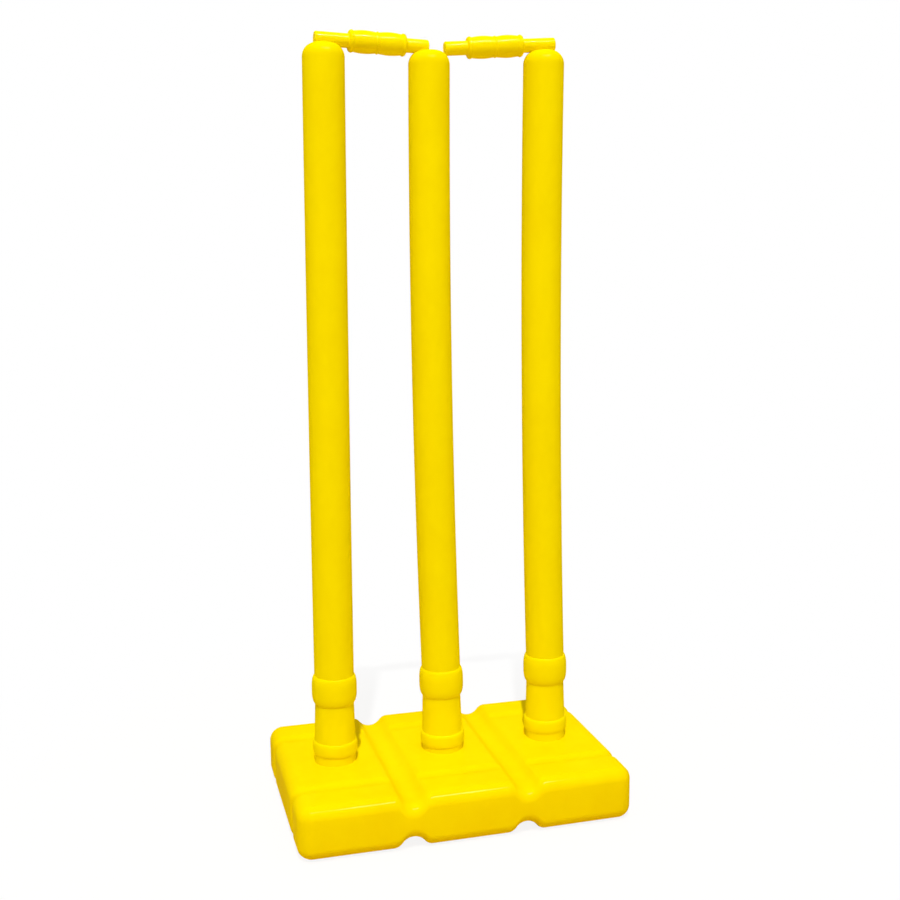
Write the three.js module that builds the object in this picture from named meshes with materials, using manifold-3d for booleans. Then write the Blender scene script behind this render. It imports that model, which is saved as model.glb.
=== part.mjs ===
// Cricket wicket: three hollow moulded stumps stand in the wells of a blow-moulded base, with two bails on top.
// Millimetres, Z up. The row of stumps lies along X, Y runs through the base from front to back,
// and the origin is the middle of the underside of the base.
import * as THREE from "three";
import { mergeVertices } from "three/addons/utils/BufferGeometryUtils.js";
import Module from "manifold-3d";

const wasm = await Module();
wasm.setup();

// Base: a rounded hollow cushion in three blocks
const BASE_LENGTH = 316;
const BASE_DEPTH = 208;
const BASE_HEIGHT = 50;
const BASE_EDGE = 12;
const BASE_CORNER = 15;
const BASE_WALL = 3;

// Cross channels, one pair on top and one pair underneath, each run from front to back
const CHANNEL_PLACE = 53.5;
const CHANNEL_WIDTH = 36;
const CHANNEL_DEPTH = 9;
const CHANNEL_LIP = 9;

// Small grooves along the base, which wrap round its two ends
const GROOVE_PLACE = 60;
const GROOVE_WIDTH = 12;
const GROOVE_DEPTH = 2.2;
const GROOVE_LIP = 5;

// Wells for the stumps: a tapered blind sleeve with a low raised lip at its mouth
const WELL_PITCH = 106.5;
const WELL_PLAY = 0.6;
const WELL_LIP_HEIGHT = 1.6;
const WELL_LIP_SPREAD = 4.2;
const WELL_LIP_CREST = 0.9;
const WELL_FLOOR = 5;

// How each stump stands: its leans to the right and to the back, as shares of what the play of its plug allows,
// and how far its plug stays above the lowest one
const STANDS = [
  { side: "left", row: -1, rightShare: 0.47, backShare: 0, lift: 3 },
  { side: "middle", row: 0, rightShare: -0.71, backShare: 0.3, lift: 0 },
  { side: "right", row: 1, rightShare: -0.66, backShare: -0.3, lift: 3 },
];

// Stump: heights are counted from the top of the base, up to the crown of the stump that stands highest
const WICKET_HEIGHT = 710;
const SHAFT_RADIUS = 18.7;
const STUMP_WALL = 2.4;
const DOME_HEIGHT = 13.5;
const DOME_FLAT_RADIUS = 6.8;
const DOME_CROWN = 1;
const DOME_WALL = 9;
const BEAD_RADIUS = 21.3;
const BEAD_BOTTOM = 57.6;
const BEAD_HEIGHT = 27;
const BEAD_ROUND = 10.5;
const TUBE_TOP_RADIUS = 18.4;
const TUBE_BOTTOM_RADIUS = 19.5;
const RING_RADIUS = 21.3;
const RING_BOTTOM = 7.8;
const RING_HEIGHT = 13;
const RING_ROUND = 4.5;
const STUB_RADIUS = 19.5;
const PLUG_TIP_RADIUS = 17.2;
const PLUG_NOSE = 3;
const VENT_RADIUS = 5;

// Bail: a barrel with end beads, a middle bead and two swells, and a long and a short spigot
const SPIGOT_RADIUS = 6.2;
const SPIGOT_ROUND = 1.3;
const LONG_SPIGOT = 30.3;
const SHORT_SPIGOT = 20.8;
const BARREL_LENGTH = 52;
const BARREL_RADIUS = 9.35;
const BARREL_SWELL = 0.6;
const END_BEAD_RADIUS = 10;
const END_BEAD_WIDTH = 4.2;
const MIDDLE_BEAD_RADIUS = 9.75;
const MIDDLE_BEAD_WIDTH = 2.6;
const SHOULDER_LENGTH = 1.6;

// How each bail lies: its reach past the axis of its outer stump, and how deep it sinks into each crown
const BAIL_SEATS = [
  { side: "left", outer: 0, reach: 7.8, outerSink: 4.1, innerSink: 4.3 },
  { side: "right", outer: 2, reach: 9.7, outerSink: 2.4, innerSink: 6.1 },
];

// Filler on the back of the base: a sunk pocket, a threaded neck, a washer and a screw cap with a grip bar
const POCKET_RADIUS = 15.5;
const POCKET_DEPTH = 10.5;
const NECK_RADIUS = 8.4;
const NECK_LENGTH = 8;
const WASHER_RADIUS = 12;
const WASHER_THICKNESS = 1.8;
const CAP_RADIUS = 12.8;
const CAP_FLANGE = 3.6;
const CAP_ROUND = 1.2;
const STEM_OVERRUN = 1.5;
const STEM_WALL = 2;
const GRIP_LENGTH = 21;
const GRIP_WIDTH = 4.5;
const GRIP_HEIGHT = 4;

// Clearance of parts that rest on or turn in each other, and how far a cut runs past its solid
const CLEARANCE = 0.3;
const OVERRUN = 2;

// Counts of facets, and where the facets of the channels, grooves and swells end, from their middle or start
const ROUND_STEPS = 24;
const BAIL_STEPS = 20;
const EDGE_STEPS = 4;
const INNER_EDGE_STEPS = 2;
const CHANNEL_SHARES = [0, 0.28, 0.56, 0.78, 1];
const GROOVE_SHARES = [0, 0.5, 1];
const INNER_CHANNEL_SHARES = [0, 0.6, 1];
const INNER_GROOVE_SHARES = [0, 1];
const SWELL_SHARES = [0.25, 0.5, 0.75];

const TOP_HEIGHT = WICKET_HEIGHT - BASE_HEIGHT;
const BAIL_LENGTH = LONG_SPIGOT + BARREL_LENGTH + SHORT_SPIGOT;
const RIGHT_ANGLE = Math.PI / 2;

// A closed geometry as a solid that can be joined and cut
function solid(geometry, place = new THREE.Matrix4()) {
  const bare = geometry.clone();
  bare.deleteAttribute("normal");
  bare.deleteAttribute("uv");
  bare.applyMatrix4(place);
  const merged = mergeVertices(bare);
  const vertProperties = new Float32Array(merged.attributes.position.array);
  const triVerts = new Uint32Array(merged.index.array);
  return new wasm.Manifold(new wasm.Mesh({ numProp: 3, vertProperties, triVerts }));
}

// A solid as a geometry with flat facets
function geometryOf(body) {
  const { vertProperties, triVerts } = body.getMesh();
  const indexed = new THREE.BufferGeometry();
  indexed.setAttribute("position", new THREE.BufferAttribute(vertProperties, 3));
  indexed.setIndex(new THREE.BufferAttribute(triVerts, 1));
  const flat = indexed.toNonIndexed();
  flat.computeVertexNormals();
  return flat;
}

// An outline of [radius, height] points turned about Z. It runs up the outside, from the axis to the axis
function turned(outline, steps) {
  const points = outline.map(([radius, height]) => new THREE.Vector2(radius, height));
  return new THREE.LatheGeometry(points, steps).rotateX(RIGHT_ANGLE);
}

// A plain round bar about Z
function bar(radius, low, high, steps) {
  return turned(
    [
      [0, low],
      [radius, low],
      [radius, high],
      [0, high],
    ],
    steps,
  );
}

// Points of a quarter of an ellipse after its start. A flat start leaves along the radius, else along the height
function quarter([fromRadius, fromHeight], [toRadius, toHeight], steps, flatStart) {
  const points = [];
  for (let k = 1; k <= steps; k++) {
    const turn = (k / steps) * RIGHT_ANGLE;
    const early = Math.sin(turn);
    const late = 1 - Math.cos(turn);
    const radiusShare = flatStart ? early : late;
    const heightShare = flatStart ? late : early;
    points.push([
      fromRadius + (toRadius - fromRadius) * radiusShare,
      fromHeight + (toHeight - fromHeight) * heightShare,
    ]);
  }
  return points;
}

// How far a moulded channel falls below the skin: a lip arc and a bed arc, tangent to each other
function channelFall(distance, halfWidth, depth, lip) {
  const away = Math.abs(distance);
  if (away >= halfWidth) return 0;
  const bed = (halfWidth ** 2 + depth ** 2) / (2 * depth) - lip;
  const turn = (halfWidth * bed) / (bed + lip);
  if (away > turn) return lip - Math.sqrt(lip ** 2 - (halfWidth - away) ** 2);
  return depth - bed + Math.sqrt(bed ** 2 - away ** 2);
}

// Places across the base: the rounded edges at both ends, and the given channels between them
function places(half, edge, edgeSteps, channels, halfWidth, shares) {
  const list = [];
  for (let k = 0; k <= edgeSteps; k++) {
    const inward = edge * (1 - Math.cos((k / edgeSteps) * RIGHT_ANGLE));
    list.push(inward - half, half - inward);
  }
  for (const middle of channels) {
    for (const share of shares) list.push(middle - halfWidth * share, middle + halfWidth * share);
  }
  return [...new Set(list)].sort((a, b) => a - b);
}

// The skin of the base, inset from its outer face: a grid over the top, its twin underneath, and the side between
function cushion(inset, edgeSteps, channelShares, grooveShares) {
  const halfLength = BASE_LENGTH / 2 - inset;
  const halfDepth = BASE_DEPTH / 2 - inset;
  const edge = BASE_EDGE - inset;
  const corner = BASE_CORNER - inset;
  const halfChannel = CHANNEL_WIDTH / 2;
  const halfGroove = GROOVE_WIDTH / 2;
  const channels = [-CHANNEL_PLACE, CHANNEL_PLACE];
  const grooves = [-GROOVE_PLACE, GROOVE_PLACE];
  const xs = places(halfLength, edge, edgeSteps, channels, halfChannel, channelShares);
  const ys = places(halfDepth, edge, edgeSteps, grooves, halfGroove, grooveShares);
  const channelAt = (x) =>
    channels.reduce((most, middle) => {
      return Math.max(most, channelFall(x - middle, halfChannel, CHANNEL_DEPTH, CHANNEL_LIP - inset));
    }, 0);
  const grooveAt = (y) =>
    grooves.reduce((most, middle) => {
      return Math.max(most, channelFall(y - middle, halfGroove, GROOVE_DEPTH, GROOVE_LIP - inset));
    }, 0);

  const positions = [];
  for (const side of [1, -1]) {
    for (const y of ys) {
      for (const x of xs) {
        const fromEnd = halfLength - Math.abs(x);
        const fromFace = halfDepth - Math.abs(y);
        const outward = Math.max(0, 1 - Math.min(fromEnd, fromFace) / edge);
        const upward = Math.sqrt(1 - outward ** 2);
        const groove = grooveAt(y);
        const fall = Math.max(channelAt(x), groove * upward) + edge * (1 - upward);
        // The square corner of the grid is drawn in to a quarter disc
        const across = Math.max(0, 1 - fromEnd / corner);
        const along = Math.max(0, 1 - fromFace / corner);
        const reach = Math.hypot(across, along);
        const draw = reach > 0 ? Math.max(across, along) / reach : 1;
        const endFall = fromEnd < fromFace ? groove * outward : 0;
        const px = Math.abs(x) - corner * across * (1 - draw) - endFall;
        const py = Math.abs(y) - corner * along * (1 - draw);
        const middle = BASE_HEIGHT / 2;
        positions.push(Math.sign(x) * px, Math.sign(y) * py, middle + side * (middle - inset - fall));
      }
    }
  }

  const columns = xs.length;
  const rows = ys.length;
  const under = columns * rows;
  const faces = [];
  const quad = (a, b, c, d) => faces.push(a, b, c, a, c, d);
  for (let j = 0; j + 1 < rows; j++) {
    for (let i = 0; i + 1 < columns; i++) {
      const a = j * columns + i;
      quad(a, a + 1, a + 1 + columns, a + columns);
      quad(under + a, under + a + columns, under + a + 1 + columns, under + a + 1);
    }
  }
  for (let i = 0; i + 1 < columns; i++) {
    const back = (rows - 1) * columns + i;
    quad(under + i, under + i + 1, i + 1, i);
    quad(back, back + 1, under + back + 1, under + back);
  }
  for (let j = 0; j + 1 < rows; j++) {
    const left = j * columns;
    const right = left + columns - 1;
    quad(left, left + columns, under + left + columns, under + left);
    quad(under + right, under + right + columns, right + columns, right);
  }
  const geometry = new THREE.BufferGeometry();
  geometry.setAttribute("position", new THREE.Float32BufferAttribute(positions, 3));
  geometry.setIndex(faces);
  return geometry;
}

// Where each stump stands: its plug tip rests just clear of the floor of its well, and it leans about mid plug
const PLUG_LENGTH = BASE_HEIGHT - WELL_FLOOR - CLEARANCE;
const FULL_LEAN = Math.atan((2 * (WELL_PLAY - CLEARANCE)) / PLUG_LENGTH);

const MOST_LIFT = Math.max(...STANDS.map(({ lift }) => lift));

function standing({ row, rightShare, backShare, lift }) {
  const pivot = BASE_HEIGHT - PLUG_LENGTH / 2;
  return new THREE.Matrix4()
    .makeTranslation(row * WELL_PITCH, 0, pivot)
    .multiply(new THREE.Matrix4().makeRotationX(-backShare * FULL_LEAN))
    .multiply(new THREE.Matrix4().makeRotationY(rightShare * FULL_LEAN))
    .multiply(new THREE.Matrix4().makeTranslation(0, 0, BASE_HEIGHT - pivot - (MOST_LIFT - lift)));
}

const stumpPlaces = STANDS.map(standing);

// A bail lies on the line through its seats on an outer stump and on the middle one
function lying({ outer, reach, outerSink, innerSink }) {
  const axisHeight = TOP_HEIGHT + SPIGOT_RADIUS;
  const outerSeat = new THREE.Vector3(0, 0, axisHeight - outerSink).applyMatrix4(stumpPlaces[outer]);
  const innerSeat = new THREE.Vector3(0, 0, axisHeight - innerSink).applyMatrix4(stumpPlaces[1]);
  const along = innerSeat.sub(outerSeat).normalize();
  const start = outerSeat.addScaledVector(along, -reach);
  const turn = new THREE.Quaternion().setFromUnitVectors(new THREE.Vector3(0, 0, 1), along);
  return new THREE.Matrix4().compose(start, turn, new THREE.Vector3(1, 1, 1));
}

const bailPlaces = BAIL_SEATS.map(lying);

// The two troughs in the middle crown meet halfway between the ends of the bails
const [leftTip, rightTip] = bailPlaces.map((place) => new THREE.Vector3(0, 0, BAIL_LENGTH).applyMatrix4(place));
const TROUGH_END = BAIL_LENGTH + leftTip.distanceTo(rightTip) / 2 + OVERRUN;

// Plug of a stump, from the edge of its vent up to the top of the base
const PLUG_OUTLINE = [
  [PLUG_TIP_RADIUS - PLUG_NOSE, -PLUG_LENGTH],
  ...quarter([PLUG_TIP_RADIUS - PLUG_NOSE, -PLUG_LENGTH], [PLUG_TIP_RADIUS, PLUG_NOSE - PLUG_LENGTH], 2, true),
  [STUB_RADIUS, 0],
];

// One stump: the outside from the vent to the crown, then the hollow from the crown back to the vent
function stumpBody(place) {
  const ringTop = RING_BOTTOM + RING_HEIGHT;
  const beadTop = BEAD_BOTTOM + BEAD_HEIGHT;
  const domeFoot = TOP_HEIGHT - DOME_HEIGHT;
  const ringLow = [RING_RADIUS, RING_BOTTOM + RING_ROUND];
  const ringHigh = [RING_RADIUS, ringTop - RING_ROUND];
  const beadLow = [BEAD_RADIUS, BEAD_BOTTOM + BEAD_ROUND];
  const beadHigh = [BEAD_RADIUS, beadTop - BEAD_ROUND];
  const domeRim = [DOME_FLAT_RADIUS, TOP_HEIGHT - DOME_CROWN];
  const outside = [
    [VENT_RADIUS, -PLUG_LENGTH],
    ...PLUG_OUTLINE,
    [STUB_RADIUS, RING_BOTTOM],
    ...quarter([STUB_RADIUS, RING_BOTTOM], ringLow, 3, true),
    ringHigh,
    ...quarter(ringHigh, [TUBE_BOTTOM_RADIUS, ringTop], 3, false),
    [TUBE_TOP_RADIUS, BEAD_BOTTOM],
    ...quarter([TUBE_TOP_RADIUS, BEAD_BOTTOM], beadLow, 4, true),
    beadHigh,
    ...quarter(beadHigh, [SHAFT_RADIUS, beadTop], 4, false),
    [SHAFT_RADIUS, domeFoot],
    ...quarter([SHAFT_RADIUS, domeFoot], domeRim, 5, false),
    [0, TOP_HEIGHT],
  ];
  const inside = [
    [0, TOP_HEIGHT - DOME_WALL],
    [DOME_FLAT_RADIUS, TOP_HEIGHT - DOME_WALL],
    [SHAFT_RADIUS - STUMP_WALL, domeFoot],
    [SHAFT_RADIUS - STUMP_WALL, beadTop],
    [BEAD_RADIUS - STUMP_WALL, beadTop - BEAD_ROUND],
    [BEAD_RADIUS - STUMP_WALL, BEAD_BOTTOM + BEAD_ROUND],
    [TUBE_TOP_RADIUS - STUMP_WALL, BEAD_BOTTOM],
    [TUBE_BOTTOM_RADIUS - STUMP_WALL, ringTop],
    [RING_RADIUS - STUMP_WALL, ringTop - RING_ROUND],
    [RING_RADIUS - STUMP_WALL, RING_BOTTOM + RING_ROUND],
    [STUB_RADIUS - STUMP_WALL, RING_BOTTOM],
    [PLUG_TIP_RADIUS - STUMP_WALL, PLUG_NOSE - PLUG_LENGTH],
    [VENT_RADIUS, STUMP_WALL - PLUG_LENGTH],
  ];
  const outline = [[0, TOP_HEIGHT], ...outside.slice(0, -1).reverse(), ...inside.reverse()];
  const blank = solid(turned(outline.reverse(), ROUND_STEPS));
  const toStump = place.clone().invert();
  const trough = bar(SPIGOT_RADIUS + CLEARANCE, -2 * (SHAFT_RADIUS + OVERRUN), TROUGH_END, BAIL_STEPS);
  return bailPlaces.reduce((body, bail) => {
    return body.subtract(solid(trough, toStump.clone().multiply(bail)));
  }, blank);
}

// One bail along Z, from the end of its long spigot. The barrel is the same read from either end
function bailBody() {
  const barrelEnd = LONG_SPIGOT + BARREL_LENGTH;
  const middle = LONG_SPIGOT + BARREL_LENGTH / 2;
  const swellLength = (BARREL_LENGTH - MIDDLE_BEAD_WIDTH) / 2 - END_BEAD_WIDTH;
  const halfBarrel = [
    [END_BEAD_RADIUS - SHOULDER_LENGTH / 2, LONG_SPIGOT],
    [END_BEAD_RADIUS, LONG_SPIGOT + SHOULDER_LENGTH / 2],
    [END_BEAD_RADIUS, LONG_SPIGOT + END_BEAD_WIDTH - SHOULDER_LENGTH / 2],
    [BARREL_RADIUS, LONG_SPIGOT + END_BEAD_WIDTH],
    ...SWELL_SHARES.map((share) => [
      BARREL_RADIUS + BARREL_SWELL * Math.sin(share * Math.PI),
      LONG_SPIGOT + END_BEAD_WIDTH + swellLength * share,
    ]),
    [BARREL_RADIUS, middle - MIDDLE_BEAD_WIDTH / 2],
    [MIDDLE_BEAD_RADIUS, middle - MIDDLE_BEAD_WIDTH / 4],
  ];
  const otherHalf = halfBarrel.map(([radius, height]) => [radius, 2 * middle - height]).reverse();
  const outline = [
    [0, 0],
    [SPIGOT_RADIUS - SPIGOT_ROUND, 0],
    ...quarter([SPIGOT_RADIUS - SPIGOT_ROUND, 0], [SPIGOT_RADIUS, SPIGOT_ROUND], 2, true),
    [SPIGOT_RADIUS, LONG_SPIGOT],
    ...halfBarrel,
    ...otherHalf,
    [SPIGOT_RADIUS, barrelEnd],
    [SPIGOT_RADIUS, BAIL_LENGTH - SPIGOT_ROUND],
    ...quarter([SPIGOT_RADIUS, BAIL_LENGTH - SPIGOT_ROUND], [SPIGOT_RADIUS - SPIGOT_ROUND, BAIL_LENGTH], 2, false),
    [0, BAIL_LENGTH],
  ];
  return solid(turned(outline, BAIL_STEPS));
}

// The filler's own frame: its Z points straight out of the middle of the back face
const fillerPlace = new THREE.Matrix4()
  .makeTranslation(0, BASE_DEPTH / 2, BASE_HEIGHT / 2)
  .multiply(new THREE.Matrix4().makeRotationX(-RIGHT_ANGLE));
const pocketFloor = -POCKET_DEPTH;
const neckEnd = pocketFloor - NECK_LENGTH;

// The base: skin less hollow, with a sleeve and a bore for each stump, and the boss, pocket and neck of the filler
function baseBody() {
  const skin = solid(cushion(0, EDGE_STEPS, CHANNEL_SHARES, GROOVE_SHARES));
  const hollow = solid(cushion(BASE_WALL, INNER_EDGE_STEPS, INNER_CHANNEL_SHARES, INNER_GROOVE_SHARES));
  let body = skin.subtract(hollow);
  const boreTip = PLUG_TIP_RADIUS + WELL_PLAY;
  const boreMouth = STUB_RADIUS + WELL_PLAY;
  const lipTop = BASE_HEIGHT + WELL_LIP_HEIGHT;
  const lipFoot = [boreMouth + WELL_LIP_SPREAD, BASE_HEIGHT];
  const boreSlope = (boreMouth - boreTip) / (PLUG_LENGTH - PLUG_NOSE);
  const sleeve = turned(
    [
      [0, BASE_WALL / 2],
      [boreTip + BASE_WALL, BASE_WALL / 2],
      [boreMouth + BASE_WALL, BASE_HEIGHT - BASE_WALL],
      [boreMouth + WELL_LIP_SPREAD, BASE_HEIGHT - BASE_WALL / 2],
      lipFoot,
      ...quarter(lipFoot, [boreMouth + WELL_LIP_CREST, lipTop], 3, true),
      [0, lipTop],
    ],
    ROUND_STEPS,
  );
  for (const { row, lift } of STANDS) {
    const floor = WELL_FLOOR - (MOST_LIFT - lift);
    const bore = turned(
      [
        [0, floor],
        [boreTip, floor],
        [boreTip, BASE_HEIGHT - PLUG_LENGTH + PLUG_NOSE],
        [boreMouth + boreSlope * (WELL_LIP_HEIGHT + OVERRUN), lipTop + OVERRUN],
        [0, lipTop + OVERRUN],
      ],
      ROUND_STEPS,
    );
    const place = new THREE.Matrix4().makeTranslation(row * WELL_PITCH, 0, 0);
    body = body.add(solid(sleeve, place)).subtract(solid(bore, place));
  }
  const boss = bar(POCKET_RADIUS + BASE_WALL, neckEnd, -BASE_WALL / 2, ROUND_STEPS);
  const pocket = bar(POCKET_RADIUS, pocketFloor, OVERRUN, ROUND_STEPS);
  const neck = bar(NECK_RADIUS, neckEnd - OVERRUN, OVERRUN, ROUND_STEPS);
  return body
    .add(solid(boss, fillerPlace))
    .subtract(solid(pocket, fillerPlace))
    .subtract(solid(neck, fillerPlace));
}

// The washer lies on the pocket floor, round the stem of the cap
const washerLow = pocketFloor + CLEARANCE;
const washerHigh = washerLow + WASHER_THICKNESS;

function washerBody() {
  const ring = [
    [NECK_RADIUS, washerLow],
    [WASHER_RADIUS, washerLow],
    [WASHER_RADIUS, washerHigh],
    [NECK_RADIUS, washerHigh],
    [NECK_RADIUS, washerLow],
  ];
  return solid(turned(ring, ROUND_STEPS));
}

// The screw cap: a hollow stem, a round flange and a grip bar across it
function capBody() {
  const stemRadius = NECK_RADIUS - CLEARANCE;
  const flangeLow = washerHigh + CLEARANCE;
  const flangeHigh = flangeLow + CAP_FLANGE;
  const stemEnd = neckEnd - STEM_OVERRUN;
  const outline = [
    [0, flangeLow],
    [stemRadius - STEM_WALL, flangeLow],
    [stemRadius - STEM_WALL, stemEnd],
    [stemRadius, stemEnd],
    [stemRadius, flangeLow],
    [CAP_RADIUS, flangeLow],
    [CAP_RADIUS, flangeHigh - CAP_ROUND],
    ...quarter([CAP_RADIUS, flangeHigh - CAP_ROUND], [CAP_RADIUS - CAP_ROUND, flangeHigh], 3, false),
    [0, flangeHigh],
  ];
  const grip = new THREE.BoxGeometry(GRIP_LENGTH, GRIP_WIDTH, GRIP_HEIGHT + CAP_FLANGE / 2);
  grip.translate(0, 0, flangeHigh + GRIP_HEIGHT / 2 - CAP_FLANGE / 4);
  return solid(turned(outline, ROUND_STEPS)).add(solid(grip));
}

// Each sub-part as a named mesh in the yellow of the set
function mesh(name, body, place, colour, roughness) {
  const material = new THREE.MeshStandardMaterial({ color: colour, roughness, metalness: 0 });
  const made = new THREE.Mesh(geometryOf(body), material);
  made.name = name;
  made.applyMatrix4(place);
  return made;
}

const wicket = new THREE.Group();
const base = new THREE.Group();
base.add(mesh("base_shell", baseBody(), new THREE.Matrix4(), 0xffe600, 0.35));
base.add(mesh("filler_washer", washerBody(), fillerPlace, 0x2a2a2a, 0.8));
base.add(mesh("filler_cap", capBody(), fillerPlace, 0xf5d400, 0.4));
wicket.add(base);

STANDS.forEach(({ side }, index) => {
  const place = stumpPlaces[index];
  wicket.add(mesh(`stump_${side}`, stumpBody(place), place, 0xfadd00, 0.4));
});

BAIL_SEATS.forEach(({ side }, index) => {
  wicket.add(mesh(`bail_${side}`, bailBody(), bailPlaces[index], 0xffe300, 0.4));
});

export default wicket;
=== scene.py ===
import math

import bmesh
import bpy
from mathutils import Matrix, Vector


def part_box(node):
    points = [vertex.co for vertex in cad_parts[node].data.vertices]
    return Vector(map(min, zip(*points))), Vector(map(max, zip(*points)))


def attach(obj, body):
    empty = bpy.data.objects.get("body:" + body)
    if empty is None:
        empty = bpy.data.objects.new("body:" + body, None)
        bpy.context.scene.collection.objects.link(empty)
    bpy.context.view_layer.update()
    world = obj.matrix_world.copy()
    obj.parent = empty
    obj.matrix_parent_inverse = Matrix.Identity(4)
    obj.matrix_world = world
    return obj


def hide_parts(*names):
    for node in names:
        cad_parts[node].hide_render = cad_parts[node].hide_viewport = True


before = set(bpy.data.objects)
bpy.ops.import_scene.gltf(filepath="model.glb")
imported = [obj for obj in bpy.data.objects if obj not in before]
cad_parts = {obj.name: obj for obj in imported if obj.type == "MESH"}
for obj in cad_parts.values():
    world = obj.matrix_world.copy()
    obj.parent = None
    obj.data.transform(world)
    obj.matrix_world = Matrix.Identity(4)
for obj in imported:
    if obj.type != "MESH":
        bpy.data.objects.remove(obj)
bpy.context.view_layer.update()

# The base is one hollow shell of yellow polythene, blow-moulded in two halves and rounded all over.
# Two wide channels cross it, and two small grooves run along it and wrap round its ends, above and
# below. Three tapered wells hold the stumps, and a sunk pocket in the back takes the filler cap.
base_low, base_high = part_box("base_shell")
BASE_LENGTH = base_high.x - base_low.x
BASE_DEPTH = base_high.y - base_low.y
BASE_HEIGHT = 0.050
BASE_EDGE = 0.012
BASE_CORNER = 0.015
BASE_WALL = 0.003
CHANNEL_PLACE = 0.0535
CHANNEL_WIDTH = 0.036
CHANNEL_DEPTH = 0.009
CHANNEL_LIP = 0.009
GROOVE_PLACE = 0.060
GROOVE_WIDTH = 0.018
GROOVE_DEPTH = 0.003
GROOVE_LIP = 0.0035
GROOVE_TOP_SHARE = 0.6
SKIN_STEPS = {"edge_steps": 12, "channel_steps": 14, "groove_steps": 9}
HOLLOW_STEPS = {"edge_steps": 3, "channel_steps": 5, "groove_steps": 3}
STUB_RADIUS = 0.0195
PLUG_TIP_RADIUS = 0.0172
PLUG_LENGTH = 0.0447
PLUG_NOSE = 0.003
DOME_FOOT = 0.6465
PLUG_TIP_REACH = 0.0005
DOME_FOOT_REACH = 0.001
WELL_FLOORS = {"left": 0.005, "middle": 0.002, "right": 0.005}
WELL_PLAY = 0.0006
WELL_GAP = 0.0001
WELL_MOUTH_ROUND = 0.00015
POCKET_RADIUS = 0.0155
POCKET_DEPTH = 0.0105
POCKET_RIM_ROUND = 0.001
NECK_RADIUS = 0.0084
NECK_LENGTH = 0.008
NECK_RIM = 0.0005
RIM_STEPS = 4
CUT_OVERRUN = 0.003
MERGE_DISTANCE = 1e-6
MERGE_DIGITS = 6
ROUND_STEPS = 96
SHARP_ANGLE = math.radians(38)
QUARTER_TURN = math.pi / 2
FULL_TURN = 2 * math.pi
AXIS_X = 0
AXIS_Z = 2


def channel_fall(distance, half_width, depth, lip):
    """How far a moulded channel falls below the skin: a lip arc runs smoothly into a bed arc"""
    away = abs(distance)
    if away >= half_width:
        return 0
    bed = (half_width**2 + depth**2) / (2 * depth) - lip
    if away > half_width * bed / (bed + lip):
        return lip - math.sqrt(lip**2 - (half_width - away) ** 2)
    return depth - bed + math.sqrt(bed**2 - away**2)


def rows_across(half, edge, edge_steps, channels, half_width, channel_steps):
    """Where the rows of the skin lie: over the rounded edges at both ends, and over each channel"""
    inward = [
        edge * (1 - math.cos(k / edge_steps * QUARTER_TURN)) for k in range(edge_steps + 1)
    ]
    rows = [side * (half - step) for step in inward for side in (-1, 1)]
    for middle in channels:
        rows += [
            middle + half_width * k / channel_steps
            for k in range(-channel_steps, channel_steps + 1)
        ]
    return sorted(rows)


def cushion(inset, edge_steps, channel_steps, groove_steps):
    """The skin of the base, inset from its outer face: a grid extruded, rounded and channelled"""
    half_length = BASE_LENGTH / 2 - inset
    half_depth = BASE_DEPTH / 2 - inset
    edge = BASE_EDGE - inset
    corner = BASE_CORNER - inset
    channels = (-CHANNEL_PLACE, CHANNEL_PLACE)
    grooves = (-GROOVE_PLACE, GROOVE_PLACE)
    half_channel = CHANNEL_WIDTH / 2
    half_groove = GROOVE_WIDTH / 2
    columns = rows_across(half_length, edge, edge_steps, channels, half_channel, channel_steps)
    rows = rows_across(half_depth, edge, edge_steps, grooves, half_groove, groove_steps)
    last_column = len(columns) - 1
    last_row = len(rows) - 1

    skin = bmesh.new()
    bmesh.ops.create_grid(skin, x_segments=last_column, y_segments=last_row, size=1)
    for point in skin.verts:
        point.co.x = columns[round((point.co.x + 1) / 2 * last_column)]
        point.co.y = rows[round((point.co.y + 1) / 2 * last_row)]
    raised = bmesh.ops.extrude_face_region(skin, geom=skin.faces[:])["geom"]
    top = {point for point in raised if isinstance(point, bmesh.types.BMVert)}

    for point in skin.verts:
        x, y = abs(point.co.x), abs(point.co.y)
        from_end = half_length - x
        from_face = half_depth - y
        outward = min(1, max(0, 1 - min(from_end, from_face) / edge))
        upward = math.sqrt(1 - outward**2)
        groove = channel_fall(y - GROOVE_PLACE, half_groove, GROOVE_DEPTH, GROOVE_LIP - inset)
        channel = channel_fall(x - CHANNEL_PLACE, half_channel, CHANNEL_DEPTH, CHANNEL_LIP - inset)
        fall = max(channel, groove * upward * GROOVE_TOP_SHARE) + edge * (1 - upward)
        # The square corner of the grid is drawn in to a quarter disc
        across = max(0, 1 - from_end / corner)
        along = max(0, 1 - from_face / corner)
        reach = math.hypot(across, along)
        drawn = corner * (1 - max(across, along) / reach) if reach > 0 else 0
        # A groove goes on down the end, at its full depth
        end_fall = groove * outward if from_end < from_face else 0
        point.co.x = math.copysign(x - across * drawn - end_fall, point.co.x)
        point.co.y = math.copysign(y - along * drawn, point.co.y)
        height = BASE_HEIGHT / 2 - inset - fall
        point.co.z = BASE_HEIGHT / 2 + (height if point in top else -height)
    bmesh.ops.recalc_face_normals(skin, faces=skin.faces)
    return skin


def rounded(start, end, steps, flat_start):
    """Points, each (radius, height), of a quarter ellipse from start to end, without its start.

    With a flat start it leaves the start along the radius, and otherwise along the height.
    """
    points = []
    for k in range(1, steps + 1):
        early = math.sin(k / steps * QUARTER_TURN)
        late = 1 - math.cos(k / steps * QUARTER_TURN)
        radius_share, height_share = (early, late) if flat_start else (late, early)
        radius = start[0] + (end[0] - start[0]) * radius_share
        height = start[1] + (end[1] - start[1]) * height_share
        points.append((radius, height))
    return points


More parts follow.
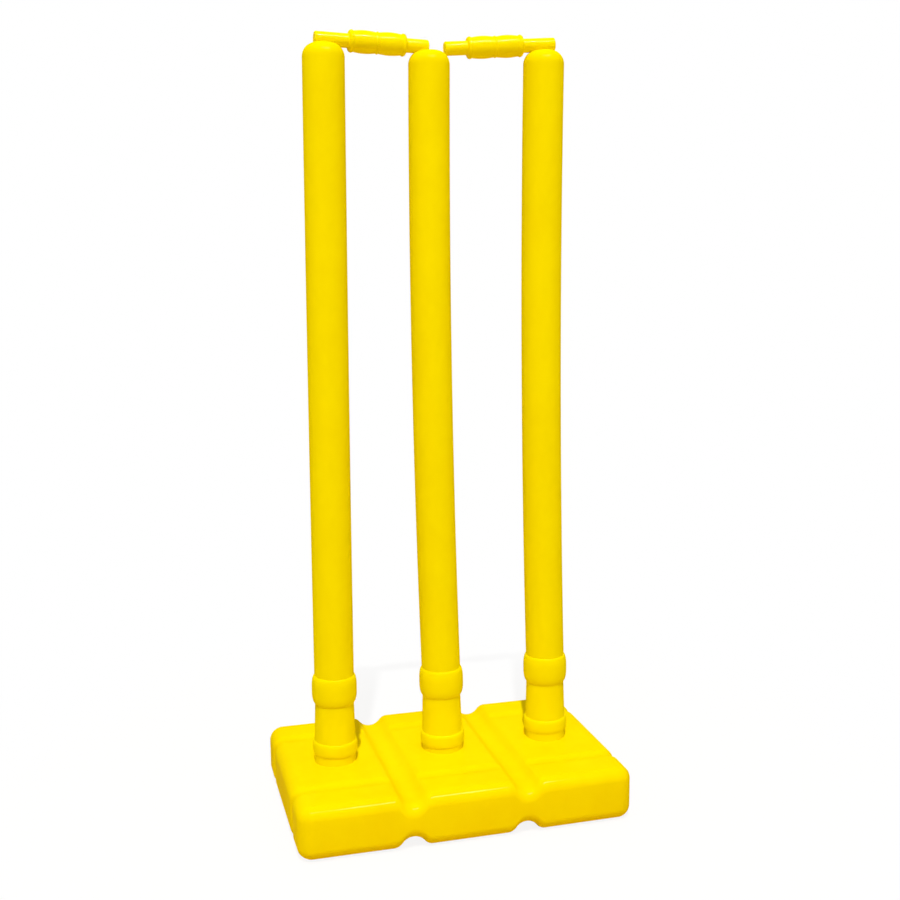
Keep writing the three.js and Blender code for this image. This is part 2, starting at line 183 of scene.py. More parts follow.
def turned(outline, place=Matrix(), steps=ROUND_STEPS):
    """An outline of (radius, height) points spun about Z, as on a lathe, and set in its place"""
    form = bmesh.new()
    points = [form.verts.new((radius, 0, height)) for radius, height in outline]
    lines = [form.edges.new(pair) for pair in zip(points, points[1:])]
    bmesh.ops.spin(
        form,
        geom=points + lines,
        axis=(0, 0, 1),
        steps=steps,
        angle=FULL_TURN,
        use_merge=True,
    )
    bmesh.ops.remove_doubles(form, verts=form.verts, dist=MERGE_DISTANCE)
    bmesh.ops.recalc_face_normals(form, faces=form.faces)
    form.transform(place)
    return form


def middle_of(node, axis, place, reach):
    """The middle of the corners of a CAD node that lie within reach of a place along an axis"""
    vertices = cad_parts[node].data.vertices
    corners = {tuple(round(c, MERGE_DIGITS) for c in vertex.co) for vertex in vertices}
    ring = [Vector(corner) for corner in corners if abs(corner[axis] - place) < reach]
    return sum(ring, Vector()) / len(ring)


def line_place(start, end, start_height):
    """The place of a turned form whose Z runs from start to end, with its start_height at start"""
    along = (end - start).normalized()
    turn = Vector((0, 0, 1)).rotation_difference(along).to_matrix().to_4x4()
    return Matrix.Translation(start - along * start_height) @ turn


def stump_place(side):
    """Where a stump stands: on the line of its CAD node, from its plug's tip to its dome's foot"""
    node = f"stump_{side}"
    tip_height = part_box(node)[0].z
    dome_height = tip_height + PLUG_LENGTH + DOME_FOOT
    tip = middle_of(node, AXIS_Z, tip_height, PLUG_TIP_REACH)
    foot_of_dome = middle_of(node, AXIS_Z, dome_height, DOME_FOOT_REACH)
    return line_place(tip, foot_of_dome, -PLUG_LENGTH)


def as_object(name, form):
    """A bmesh as an object of the scene"""
    mesh = bpy.data.meshes.new(name)
    form.to_mesh(mesh)
    form.free()
    made = bpy.data.objects.new(name, mesh)
    bpy.context.collection.objects.link(made)
    return made


def joined(form, operation, tool):
    """A bmesh after it is joined with another, or cut by it"""
    body = as_object("body", form)
    other = as_object("tool", tool)
    step = body.modifiers.new("join", "BOOLEAN")
    step.operation = operation
    step.solver = "EXACT"
    step.object = other
    result = bmesh.new()
    result.from_object(body, bpy.context.evaluated_depsgraph_get())
    for used in (body, other):
        bpy.data.meshes.remove(used.data)
    return result


def piece(name, form, finish, body, node):
    """A bmesh as a finished piece that rides on a body and stands for a CAD node"""
    made = as_object(name, form)
    made.data.shade_smooth()
    made.data.set_sharp_from_angle(angle=SHARP_ANGLE)
    made.data.materials.append(finish.material)
    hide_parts(node)
    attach(made, body)
    return made


class Value:
    """A socket of a shader that takes part in sums: an expression on it adds its Math nodes"""

    def __init__(self, shader, socket):
        self.shader = shader
        self.socket = socket

    def sum(self, operation, first, second):
        return self.shader.add("ShaderNodeMath", {"operation": operation}, {0: first, 1: second})

    def __add__(self, other):
        return self.sum("ADD", self, other)

    def __radd__(self, other):
        return self.sum("ADD", other, self)

    def __sub__(self, other):
        return self.sum("SUBTRACT", self, other)

    def __rsub__(self, other):
        return self.sum("SUBTRACT", other, self)

    def __mul__(self, other):
        return self.sum("MULTIPLY", self, other)

    def __rmul__(self, other):
        return self.sum("MULTIPLY", other, self)


class Shader:
    """The nodes of a material or a world. Every node but those it starts with is made by add"""

    def __init__(self, owner):
        owner.use_nodes = True
        self.tree = owner.node_tree

    def add(self, kind, settings, inputs, output=0):
        """A node with its settings and the values or links of its inputs, as one of its outputs"""
        node = self.tree.nodes.new(kind)
        for name, setting in settings.items():
            setattr(node, name, setting)
        for name, given in inputs.items():
            if isinstance(given, Value):
                self.tree.links.new(given.socket, node.inputs[name])
            else:
                node.inputs[name].default_value = given
        return Value(self, node.outputs[output])


class Finish(Shader):
    """The shader of one material. Its fixed values are set on the sockets of those names"""

    COLOUR_SHARE = 0
    FIRST_COLOUR = 6
    SECOND_COLOUR = 7
    MIXED_COLOUR = 2

    def __init__(self, name, **fixed):
        self.material = bpy.data.materials.new(name)
        super().__init__(self.material)
        self.principled = self.tree.nodes["Principled BSDF"]
        for socket, value in fixed.items():
            self.principled.inputs[socket.replace("_", " ")].default_value = value
        self.place = self.add("ShaderNodeTexCoord", {}, {}, "Object")

    def noise(self, size, detail, stretch=(1, 1, 1)):
        """Noise from 0 to 1, with features of a size in metres, times the stretch on each axis"""
        scale = [1 / (size * factor) for factor in stretch]
        spot = self.add("ShaderNodeMapping", {}, {"Vector": self.place, "Scale": scale})
        return self.add("ShaderNodeTexNoise", {}, {"Vector": spot, "Scale": 1, "Detail": detail})

    def band(self, value, low, high):
        """How far a value is on its way from low to high, from 0 to 1"""
        limits = {"Value": value, "From Min": low, "From Max": high}
        return self.add("ShaderNodeMapRange", {"interpolation_type": "SMOOTHSTEP"}, limits)

    def blend(self, share, first, second):
        """A colour between two"""
        colours = {self.COLOUR_SHARE: share, self.FIRST_COLOUR: first, self.SECOND_COLOUR: second}
        return self.add("ShaderNodeMix", {"data_type": "RGBA"}, colours, self.MIXED_COLOUR)

    def bump(self, height):
        """The tilt that a height in metres gives the surface"""
        return self.add("ShaderNodeBump", {}, {"Strength": 1.0, "Distance": 1.0, "Height": height})

    def put(self, **values):
        """Links values to the Principled sockets of those names"""
        for socket, value in values.items():
            self.tree.links.new(value.socket, self.principled.inputs[socket.replace("_", " ")])


def shade(red, green, blue):
    """A colour as a screen shows it, from 0 to 255, on the standard curve to a shader's light"""
    light = []
    for level in (red, green, blue):
        share = level / 255
        light.append(share / 12.92 if share < 0.04045 else ((share + 0.055) / 1.055) ** 2.4)
    return (*light, 1)


CLOUD = {"size": 0.055, "detail": 3}
SMEAR = {"size": 0.012, "detail": 4, "stretch": (1, 1, 3)}
GRAIN = {"size": 0.0011, "detail": 2}
RIPPLE = {"size": 0.020, "detail": 1, "stretch": (1, 1, 2)}
RIPPLE_DEPTH = 0.00012
CLOUD_SHARE_OF_COLOUR = 0.7
COLOUR_BAND = {"low": 0.35, "high": 0.7}
SMEAR_SHARE_OF_WEAR = 0.6
WEAR_BAND = {"low": 0.3, "high": 0.7}
GLINT_WHERE_NEW = 1.3
GLINT_LOST_TO_WEAR = 0.6


def moulded_plastic(name, colour, deep_colour, roughness, grain_depth, glint, glint_roughness):
    """Polythene as it leaves the mould: clouded colour, uneven gloss, a fine grain and a ripple"""
    finish = Finish(name, Specular_IOR_Level=0.0, Coat_Roughness=glint_roughness)
    cloud = finish.noise(**CLOUD)
    smear = finish.noise(**SMEAR)
    grain = finish.noise(**GRAIN)
    ripple = finish.noise(**RIPPLE)
    depth = cloud * CLOUD_SHARE_OF_COLOUR + smear * (1 - CLOUD_SHARE_OF_COLOUR)
    wear = smear * SMEAR_SHARE_OF_WEAR + cloud * (1 - SMEAR_SHARE_OF_WEAR)
    worn = finish.band(wear, **WEAR_BAND)
    smooth, rough = roughness
    finish.put(
        Base_Color=finish.blend(finish.band(depth, **COLOUR_BAND), colour, deep_colour),
        Roughness=smooth + (rough - smooth) * worn,
        Coat_Weight=glint * (GLINT_WHERE_NEW - worn * GLINT_LOST_TO_WEAR),
        Normal=finish.bump(grain * grain_depth + ripple * RIPPLE_DEPTH),
    )
    return finish


base_plastic = moulded_plastic(
    "base_polythene",
    colour=shade(248, 223, 0),
    deep_colour=shade(245, 217, 0),
    roughness=(0.3, 0.4),
    grain_depth=0.00001,
    glint=0.014,
    glint_roughness=0.14,
)

shell = joined(cushion(0, **SKIN_STEPS), "DIFFERENCE", cushion(BASE_WALL, **HOLLOW_STEPS))
bore_tip = PLUG_TIP_RADIUS + WELL_PLAY
bore_mouth = STUB_RADIUS + WELL_GAP
mouth_low = (bore_mouth, BASE_HEIGHT - WELL_MOUTH_ROUND)
mouth_high = (bore_mouth + WELL_MOUTH_ROUND, BASE_HEIGHT)
sleeve = [
    (0, BASE_WALL / 2),
    (bore_tip + BASE_WALL, BASE_WALL / 2),
    (bore_mouth + BASE_WALL, BASE_HEIGHT - BASE_WALL / 2),
    (0, BASE_HEIGHT - BASE_WALL / 2),
]
for side, well_floor in WELL_FLOORS.items():
    # Each well is upright, under the middle of its stump where that enters the base
    entry = stump_place(side).translation
    well_place = Matrix.Translation((entry.x, entry.y, 0))
    bore = [
        (0, well_floor),
        (bore_tip, well_floor),
        (bore_tip, BASE_HEIGHT - PLUG_LENGTH + PLUG_NOSE),
        mouth_low,
        *rounded(mouth_low, mouth_high, RIM_STEPS, False),
        (bore_mouth + WELL_MOUTH_ROUND, BASE_HEIGHT + CUT_OVERRUN),
        (0, BASE_HEIGHT + CUT_OVERRUN),
    ]
    shell = joined(shell, "UNION", turned(sleeve, well_place))
    shell = joined(shell, "DIFFERENCE", turned(bore, well_place))

# The filler's own frame has Z straight out of the middle of the back face
back_middle = Matrix.Translation((0, BASE_DEPTH / 2, BASE_HEIGHT / 2))
filler_place = back_middle @ Matrix.Rotation(-QUARTER_TURN, 4, "X")
neck_end = -POCKET_DEPTH - NECK_LENGTH
boss = [
    (0, neck_end),
    (POCKET_RADIUS + BASE_WALL, neck_end),
    (POCKET_RADIUS + BASE_WALL, -BASE_WALL / 2),
    (0, -BASE_WALL / 2),
]
pocket_rim_low = (POCKET_RADIUS, -POCKET_RIM_ROUND)
pocket_rim_high = (POCKET_RADIUS + POCKET_RIM_ROUND, 0)
pocket = [
    (0, neck_end - CUT_OVERRUN),
    (NECK_RADIUS, neck_end - CUT_OVERRUN),
    (NECK_RADIUS, -POCKET_DEPTH - NECK_RIM),
    (NECK_RADIUS + NECK_RIM, -POCKET_DEPTH),
    (POCKET_RADIUS, -POCKET_DEPTH),
    pocket_rim_low,
    *rounded(pocket_rim_low, pocket_rim_high, RIM_STEPS, False),
    (POCKET_RADIUS + POCKET_RIM_ROUND, CUT_OVERRUN),
    (0, CUT_OVERRUN),
]
shell = joined(shell, "UNION", turned(boss, filler_place))
shell = joined(shell, "DIFFERENCE", turned(pocket, filler_place))
piece("moulded_base", shell, base_plastic, "base", "base_shell")

# The stumps are three like hollow tubes of the same polythene, each blown in one with its plug.
# A ring above the base and a larger bead mark the foot, and bails lie in troughs in the domed top.
# They lean a little in their wells, and their long thin shafts have set with a slight bow.
DOME_HEIGHT = 0.0135
TOP_HEIGHT = DOME_FOOT + DOME_HEIGHT
SHAFT_RADIUS = 0.0187
SHAFT_BOWS = {"left": 0.0005, "middle": 0.003, "right": 0.003}
SHAFT_STEPS = 24
STUMP_WALL = 0.0024
DOME_FLAT_RADIUS = 0.0068
DOME_CROWN = 0.001
DOME_WALL = 0.009
DOME_STEPS = 28
CROWN_STEPS = 16
BEAD_RADIUS = 0.0213
BEAD_BOTTOM = 0.0576
BEAD_HEIGHT = 0.027
BEAD_ROUND = 0.0105
BEAD_STEPS = 12
TUBE_TOP_RADIUS = 0.0184
TUBE_BOTTOM_RADIUS = 0.0195
RING_RADIUS = 0.0213
RING_BOTTOM = 0.0078
RING_HEIGHT = 0.013
RING_ROUND = 0.0045
RING_STEPS = 8
NOSE_STEPS = 6
VENT_RADIUS = 0.005
SPIGOT_RADIUS = 0.0062
SPIGOT_REACH = 0.012
TROUGH_CLEARANCE = 0.0003
TROUGH_SOFTNESS = 0.0006
TROUGH_OVERRUN = 0.002
TROUGH_SIDE_SLOPE = 20


def bail_line(side):
    """The ends of the axis of a bail, its long spigot first, from the rings of corners near them"""
    node = f"bail_{side}"
    low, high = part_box(node)
    start = middle_of(node, AXIS_X, low.x, SPIGOT_REACH)
    along = (middle_of(node, AXIS_X, high.x, SPIGOT_REACH) - start).normalized()
    tips = [start + along * ((end - start.x) / along.x) for end in (low.x, high.x)]
    return tips if side == "left" else tips[::-1]


bail_lines = {side: bail_line(side) for side in ("left", "right")}
inner_gap = (bail_lines["left"][1] - bail_lines["right"][1]).length


def soft_least(first, second, softness):
    """The lesser of two heights, with the corner between them rounded off"""
    overlap = max(softness - abs(first - second), 0) / softness
    return min(first, second) - overlap**2 * softness / 4


def trough_floor(point, line):
    """The height of a trough's round floor at a point. Outside the trough it climbs steeply"""
    start, end = line
    along = (end - start).normalized()
    reach = (point - start).dot(along)
    aside = abs((point - start - along * reach).y)
    axis_height = start.z + (point.x - start.x) * along.z / along.x
    radius = SPIGOT_RADIUS + TROUGH_CLEARANCE
    floor_height = axis_height - math.sqrt(radius**2 - min(aside, radius) ** 2)
    trough_end = (end - start).length + inner_gap / 2 + TROUGH_OVERRUN
    outside = max(0, aside - radius, reach - trough_end)
    return floor_height + outside * TROUGH_SIDE_SLOPE


stump_plastic = moulded_plastic(
    "stump_polythene",
    colour=shade(248, 230, 0),
    deep_colour=shade(245, 225, 0),
    roughness=(0.42, 0.52),
    grain_depth=0.000012,
    glint=0.008,
    glint_roughness=0.2,
)

ring_top = RING_BOTTOM + RING_HEIGHT
bead_top = BEAD_BOTTOM + BEAD_HEIGHT
nose = (PLUG_TIP_RADIUS - PLUG_NOSE, -PLUG_LENGTH)
ring_low = (RING_RADIUS, RING_BOTTOM + RING_ROUND)
ring_high = (RING_RADIUS, ring_top - RING_ROUND)
bead_low = (BEAD_RADIUS, BEAD_BOTTOM + BEAD_ROUND)
bead_high = (BEAD_RADIUS, bead_top - BEAD_ROUND)
dome_rim = (DOME_FLAT_RADIUS, TOP_HEIGHT - DOME_CROWN)
shaft_length = DOME_FOOT - bead_top
shaft_heights = [bead_top + shaft_length * k / SHAFT_STEPS for k in range(1, SHAFT_STEPS + 1)]
crown_shares = [1 - k / CROWN_STEPS for k in range(1, CROWN_STEPS + 1)]
stump_outline = [
    (VENT_RADIUS, -PLUG_LENGTH),
    nose,
    *rounded(nose, (PLUG_TIP_RADIUS, PLUG_NOSE - PLUG_LENGTH), NOSE_STEPS, True),
    (STUB_RADIUS, 0),
    (STUB_RADIUS, RING_BOTTOM),
    *rounded((STUB_RADIUS, RING_BOTTOM), ring_low, RING_STEPS, True),
    ring_high,
    *rounded(ring_high, (TUBE_BOTTOM_RADIUS, ring_top), RING_STEPS, False),
    (TUBE_TOP_RADIUS, BEAD_BOTTOM),
    *rounded((TUBE_TOP_RADIUS, BEAD_BOTTOM), bead_low, BEAD_STEPS, True),
    bead_high,
    *rounded(bead_high, (SHAFT_RADIUS, bead_top), BEAD_STEPS, False),
    *[(SHAFT_RADIUS, height) for height in shaft_heights],
    *rounded((SHAFT_RADIUS, DOME_FOOT), dome_rim, DOME_STEPS, False),
    *[(DOME_FLAT_RADIUS * share, TOP_HEIGHT - DOME_CROWN * share**2) for share in crown_shares],
    (0, TOP_HEIGHT - DOME_WALL),
    (DOME_FLAT_RADIUS, TOP_HEIGHT - DOME_WALL),
    *[(SHAFT_RADIUS - STUMP_WALL, height) for height in reversed(shaft_heights)],
    (SHAFT_RADIUS - STUMP_WALL, bead_top),
    (BEAD_RADIUS - STUMP_WALL, bead_top - BEAD_ROUND),
    (BEAD_RADIUS - STUMP_WALL, BEAD_BOTTOM + BEAD_ROUND),
    (TUBE_TOP_RADIUS - STUMP_WALL, BEAD_BOTTOM),
    (TUBE_BOTTOM_RADIUS - STUMP_WALL, ring_top),
    (RING_RADIUS - STUMP_WALL, ring_top - RING_ROUND),
    (RING_RADIUS - STUMP_WALL, RING_BOTTOM + RING_ROUND),
    (STUB_RADIUS - STUMP_WALL, RING_BOTTOM),
    (PLUG_TIP_RADIUS - STUMP_WALL, PLUG_NOSE - PLUG_LENGTH),
    (VENT_RADIUS, STUMP_WALL - PLUG_LENGTH),
    (VENT_RADIUS, -PLUG_LENGTH),
]
for side, bails in (("left", ("left",)), ("middle", ("left", "right")), ("right", ("right",))):
    node = f"stump_{side}"
    stump = turned(stump_outline)
    for point in stump.verts:
        # The bow is a parabola, which is at its most half way up the shaft
        share = (point.co.z - bead_top) / shaft_length
        if 0 < share < 1:
            point.co.x -= 4 * SHAFT_BOWS[side] * share * (1 - share)
    stump.normal_update()
    dome = [point for point in stump.verts if point.co.z > DOME_FOOT and point.normal.z > 0]
    stump.transform(stump_place(side))
    for point in dome:
        for bail in bails:
            trough = trough_floor(point.co, bail_lines[bail])
            point.co.z = soft_least(point.co.z, trough, TROUGH_SOFTNESS)
    piece(f"moulded_{node}", stump, stump_plastic, node, node)

# The bails are two like pegs of glossy yellow polythene that only lie in the stumps' troughs.
# Each is a slightly swelled barrel with beads at its ends and middle, moulded in one with a long
# spigot that lies on an outer stump and a short one that lies on the middle stump.
LONG_SPIGOT = 0.0303
SHORT_SPIGOT = 0.0208
BARREL_LENGTH = 0.052
BARREL_RADIUS = 0.0091
BARREL_SWELL = 0.00085
SWELL_STEPS = 16
END_BEAD_RADIUS = 0.0098
END_BEAD_WIDTH = 0.0046
END_BEAD_STEPS = 10
MIDDLE_BEAD_RADIUS = 0.0097
MIDDLE_BEAD_WIDTH = 0.003
MIDDLE_BEAD_STEPS = 8
SHOULDER_ROUND = 0.0026
SHOULDER_STEPS = 8
SPIGOT_ROUND = 0.0013
SPIGOT_STEPS = 6
BAIL_STEPS = 72

bail_plastic = moulded_plastic(
    "bail_polythene",
    colour=shade(254, 235, 0),
    deep_colour=shade(251, 230, 0),
    roughness=(0.25, 0.35),
    grain_depth=0.000004,
    glint=0.04,
    glint_roughness=0.08,
)


def eased(start, end, steps):
    """Points, each (radius, height), of a slope that starts and ends level, without its start"""
    points = []
    for k in range(1, steps + 1):
        radius_share = (1 - math.cos(k / steps * math.pi)) / 2
        radius = start[0] + (end[0] - start[0]) * radius_share
        points.append((radius, start[1] + (end[1] - start[1]) * k / steps))
    return points


bail_length = LONG_SPIGOT + BARREL_LENGTH + SHORT_SPIGOT
barrel_end = LONG_SPIGOT + BARREL_LENGTH
barrel_middle = LONG_SPIGOT + BARREL_LENGTH / 2
shoulder = (END_BEAD_RADIUS - SHOULDER_ROUND, LONG_SPIGOT)
end_bead = (END_BEAD_RADIUS, LONG_SPIGOT + SHOULDER_ROUND)
swell_start = LONG_SPIGOT + END_BEAD_WIDTH
swell_end = barrel_middle - MIDDLE_BEAD_WIDTH / 2
swell = []
for k in range(1, SWELL_STEPS + 1):
    swell_radius = BARREL_RADIUS + BARREL_SWELL * math.sin(k / SWELL_STEPS * math.pi)
    swell.append((swell_radius, swell_start + (swell_end - swell_start) * k / SWELL_STEPS))
middle_bead = (MIDDLE_BEAD_RADIUS, barrel_middle)
half_barrel = [
    shoulder,
    *rounded(shoulder, end_bead, SHOULDER_STEPS, True),
    *eased(end_bead, (BARREL_RADIUS, swell_start), END_BEAD_STEPS),
    *swell,
    *eased((BARREL_RADIUS, swell_end), middle_bead, MIDDLE_BEAD_STEPS),
]
long_tip_low = (SPIGOT_RADIUS - SPIGOT_ROUND, 0)
long_tip_high = (SPIGOT_RADIUS, SPIGOT_ROUND)
short_tip_low = (SPIGOT_RADIUS, bail_length - SPIGOT_ROUND)
short_tip_high = (SPIGOT_RADIUS - SPIGOT_ROUND, bail_length)
bail_outline = [
    (0, 0),
    long_tip_low,
    *rounded(long_tip_low, long_tip_high, SPIGOT_STEPS, True),
    (SPIGOT_RADIUS, LONG_SPIGOT),
    *half_barrel,
    *[(radius, 2 * barrel_middle - height) for radius, height in reversed(half_barrel)],
    (SPIGOT_RADIUS, barrel_end),
    short_tip_low,
    *rounded(short_tip_low, short_tip_high, SPIGOT_STEPS, False),
    (0, bail_length),
]
for side, (long_tip, short_tip) in bail_lines.items():
    bail = turned(bail_outline, line_place(long_tip, short_tip, 0), BAIL_STEPS)
    node = f"bail_{side}"
    piece(f"moulded_{node}", bail, bail_plastic, node, node)

# The filler closes the hollow of the base. A flat black rubber washer lies on the floor of the
# pocket. A yellow screw cap presses on it, moulded with a grip bar across it and a hollow stem.
WASHER_RADIUS = 0.012
WASHER_THICKNESS = 0.0018
WASHER_ROUND = 0.0003
WASHER_STEPS = 3
CLEARANCE = 0.0003
CAP_RADIUS = 0.0128
CAP_FLANGE = 0.0036
CAP_ROUND = 0.0012
CAP_STEPS = 6
STEM_OVERRUN = 0.0015
STEM_WALL = 0.002
GRIP_LENGTH = 0.021
GRIP_WIDTH = 0.0045
GRIP_HEIGHT = 0.004
GRIP_SINK = CAP_FLANGE / 2
GRIP_ROUND = 0.0008
GRIP_STEPS = 4
BLOOM = {"size": 0.004, "detail": 4}
BLOOM_BAND = {"low": 0.4, "high": 0.75}
RUBBER_BLACK = shade(38, 38, 38)
RUBBER_BLOOM = shade(62, 61, 59)
RUBBER_ROUGHNESS = 0.7
BLOOM_ROUGHNESS = 0.2
RUBBER_GRAIN = {"size": 0.0006, "detail": 3}
RUBBER_GRAIN_DEPTH = 0.00003

cap_plastic = moulded_plastic(
    "cap_polythene",
    colour=shade(249, 213, 0),
    deep_colour=shade(246, 207, 0),
    roughness=(0.35, 0.45),
    grain_depth=0.00001,
    glint=0.014,
    glint_roughness=0.2,
)

rubber = Finish("washer_rubber", Specular_IOR_Level=0.3)
bloom = rubber.noise(**BLOOM)
rubber.put(
    Base_Color=rubber.blend(rubber.band(bloom, **BLOOM_BAND), RUBBER_BLACK, RUBBER_BLOOM),
    Roughness=RUBBER_ROUGHNESS + bloom * BLOOM_ROUGHNESS,
    Normal=rubber.bump(rubber.noise(**RUBBER_GRAIN) * RUBBER_GRAIN_DEPTH),
)

washer_low = CLEARANCE - POCKET_DEPTH
washer_high = washer_low + WASHER_THICKNESS
lower_face_edge = (WASHER_RADIUS - WASHER_ROUND, washer_low)
lower_rim = (WASHER_RADIUS, washer_low + WASHER_ROUND)
upper_rim = (WASHER_RADIUS, washer_high - WASHER_ROUND)
upper_face_edge = (WASHER_RADIUS - WASHER_ROUND, washer_high)
washer_outline = [
    (NECK_RADIUS, washer_low),
    lower_face_edge,
    *rounded(lower_face_edge, lower_rim, WASHER_STEPS, True),
    *rounded(upper_rim, upper_face_edge, WASHER_STEPS, False),
    (NECK_RADIUS, washer_high),
    (NECK_RADIUS, washer_low),
]
washer = turned(washer_outline, filler_place)
piece("rubber_washer", washer, rubber, "filler_washer", "filler_washer")

stem_radius = NECK_RADIUS - CLEARANCE
stem_end = neck_end - STEM_OVERRUN
flange_low = washer_high + CLEARANCE
flange_high = flange_low + CAP_FLANGE
cap_rim = (CAP_RADIUS, flange_high - CAP_ROUND)
cap_face_edge = (CAP_RADIUS - CAP_ROUND, flange_high)
cap_outline = [
    (0, flange_low),
    (stem_radius - STEM_WALL, flange_low),
    (stem_radius - STEM_WALL, stem_end),
    (stem_radius, stem_end),
    (stem_radius, flange_low),
    (CAP_RADIUS, flange_low),
    *rounded(cap_rim, cap_face_edge, CAP_STEPS, False),
    (0, flange_high),
]
grip = bmesh.new()
grip_sizes = Matrix.Diagonal((GRIP_LENGTH, GRIP_WIDTH, GRIP_HEIGHT + GRIP_SINK, 1))
grip_middle = Matrix.Translation((0, 0, flange_high + (GRIP_HEIGHT - GRIP_SINK) / 2))
bmesh.ops.create_cube(grip, size=1, matrix=grip_middle @ grip_sizes)
bmesh.ops.bevel(
    grip,
    geom=grip.edges[:],
    offset=GRIP_ROUND,
    offset_type="OFFSET",
    segments=GRIP_STEPS,
    profile=0.5,
    affect="EDGES",
    material=-1,
    clamp_overlap=True,
)
grip.transform(filler_place)
cap = joined(turned(cap_outline, filler_place), "UNION", grip)
piece("screw_cap", cap, cap_plastic, "filler_cap", "filler_cap")

# The studio is a plain pale floor, which keeps a faint shadow, in an even and slightly warm room.
# A small far lamp, high behind the camera, throws the shadows. A strip to the right shows only in
# reflections, as a glint along the front edge of the base, and the floor sends back a warm light.
FLOOR_SIZE = 60
FLOOR_DROP = 0.0002
FLOOR_GLOW = 0.88
FLOOR_BOUNCE = (0.68, 0.52, 0.37, 1)
PAPER_ROUGHNESS = 0.9
PAPER_CLOUD = {"size": 0.2, "detail": 2}
PAPER_GREY = (0.9, 0.9, 0.9, 1)
PAPER_PALE = (0.93, 0.93, 0.93, 1)
WHITE = (1, 1, 1, 1)
SHADOW_NEAR = 0.25
SHADOW_FAR = 0.6
ROOM_LIGHT = 0.52
ROOM_TINT = (1.0, 0.92, 0.8, 1)
LAMP_DISTANCE = 10.0
LAMP_AZIMUTH = math.radians(16)
LAMP_ELEVATION = math.radians(63)
LAMP_SIZE = 0.15
LAMP_POWER = 710
STRIP_DISTANCE = 3.0
STRIP_AZIMUTH = math.radians(-19)
STRIP_LENGTH = 1.0
STRIP_HEIGHT = 0.05
STRIP_POWER = 280


def backdrop_rays(shader):
    """1 on the rays that show the backdrop: to the camera, off a gloss or through clear things"""
    return (
        shader.add("ShaderNodeLightPath", {}, {}, "Is Camera Ray")
        + shader.add("ShaderNodeLightPath", {}, {}, "Is Glossy Ray")
        + shader.add("ShaderNodeLightPath", {}, {}, "Is Transmission Ray")
    )


ground = bmesh.new()
bmesh.ops.create_grid(ground, x_segments=1, y_segments=1, size=FLOOR_SIZE / 2)
ground.transform(Matrix.Translation((0, 0, -FLOOR_DROP)))
floor = as_object("floor", ground)
paper = Finish("white_paper", Roughness=PAPER_ROUGHNESS, Specular_IOR_Level=0.0)
paper.put(Base_Color=paper.blend(paper.noise(**PAPER_CLOUD), PAPER_GREY, PAPER_PALE))
lit_paper = Value(paper, paper.principled.outputs[0])
white_glow = paper.add("ShaderNodeEmission", {}, {"Color": WHITE, "Strength": 1.0})
warm_bounce = paper.add("ShaderNodeBsdfDiffuse", {}, {"Color": FLOOR_BOUNCE})
distance = paper.add("ShaderNodeVectorMath", {"operation": "LENGTH"}, {0: paper.place}, "Value")
glow_share = FLOOR_GLOW + (1 - FLOOR_GLOW) * paper.band(distance, SHADOW_NEAR, SHADOW_FAR)
shown_floor = paper.add("ShaderNodeMixShader", {}, {0: glow_share, 1: lit_paper, 2: white_glow})
floor_shader = paper.add(
    "ShaderNodeMixShader", {}, {0: backdrop_rays(paper), 1: warm_bounce, 2: shown_floor}
)
paper.tree.links.new(floor_shader.socket, paper.tree.nodes["Material Output"].inputs["Surface"])
floor.data.materials.append(paper.material)

world = bpy.data.worlds.new("room")
room = Shader(world)
room_light = room.add("ShaderNodeBackground", {}, {"Color": ROOM_TINT, "Strength": ROOM_LIGHT})
shown_room = room.add("ShaderNodeBackground", {}, {"Color": WHITE, "Strength": 1.0})
room_shader = room.add(
    "ShaderNodeMixShader", {}, {0: backdrop_rays(room), 1: room_light, 2: shown_room}
)
room.tree.links.new(room_shader.socket, room.tree.nodes["World Output"].inputs["Surface"])
room.tree.nodes.remove(room.tree.nodes["Background"])
bpy.context.scene.world = world


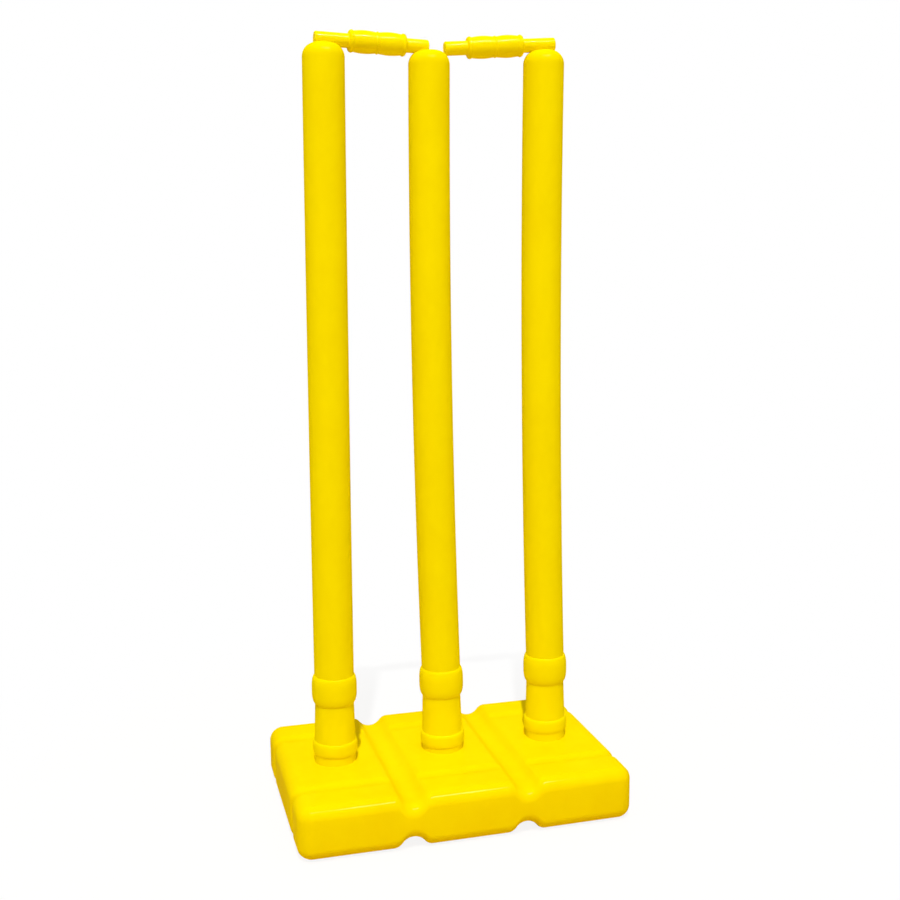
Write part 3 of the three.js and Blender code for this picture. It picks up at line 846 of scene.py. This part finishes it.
def add_lamp(name, shape, azimuth, distance, power):
    """An area lamp aimed at the base, from an azimuth to the left of straight in front of it"""
    towards = Vector((0, 0, 1))
    towards.rotate(Matrix.Rotation(QUARTER_TURN - LAMP_ELEVATION, 3, "X"))
    towards.rotate(Matrix.Rotation(-azimuth, 3, "Z"))
    lamp = bpy.data.objects.new(name, bpy.data.lights.new(name, "AREA"))
    lamp.data.shape = shape
    lamp.data.energy = power
    lamp.location = Vector((0, 0, BASE_HEIGHT)) + towards * distance
    lamp.rotation_euler = towards.to_track_quat("Z", "Y").to_euler()
    bpy.context.collection.objects.link(lamp)
    return lamp


lamp = add_lamp("lamp", "DISK", LAMP_AZIMUTH, LAMP_DISTANCE, LAMP_POWER)
lamp.data.size = LAMP_SIZE
strip = add_lamp("strip", "RECTANGLE", STRIP_AZIMUTH, STRIP_DISTANCE, STRIP_POWER)
strip.data.size = STRIP_LENGTH
strip.data.size_y = STRIP_HEIGHT
strip.visible_diffuse = False

# The camera stands where the photograph was taken from: in front of the stumps, to their left,
# and above their middle, looking down at them and to the right.
CAMERA_PLACE = (-0.28805, -1.08149, 0.52611)
CAMERA_YAW = 0.2687
CAMERA_PITCH = 0.1613
CAMERA_ROLL = -0.0076
IMAGE_SIZE = 900
FOCAL_PIXELS = 1203.53

ahead = Vector(
    (
        math.sin(CAMERA_YAW) * math.cos(CAMERA_PITCH),
        math.cos(CAMERA_YAW) * math.cos(CAMERA_PITCH),
        -math.sin(CAMERA_PITCH),
    )
)
level = Vector((math.cos(CAMERA_YAW), -math.sin(CAMERA_YAW), 0))
right = Matrix.Rotation(-CAMERA_ROLL, 3, ahead) @ level
above = right.cross(ahead)
camera_turn = Matrix((right, above, -ahead)).transposed().to_4x4()
camera = bpy.data.objects.new("camera", bpy.data.cameras.new("camera"))
camera.data.lens = camera.data.sensor_width * FOCAL_PIXELS / IMAGE_SIZE
camera.matrix_world = Matrix.Translation(CAMERA_PLACE) @ camera_turn
bpy.context.collection.objects.link(camera)
bpy.context.scene.camera = camera
bpy.context.scene.view_settings.view_transform = "Standard"
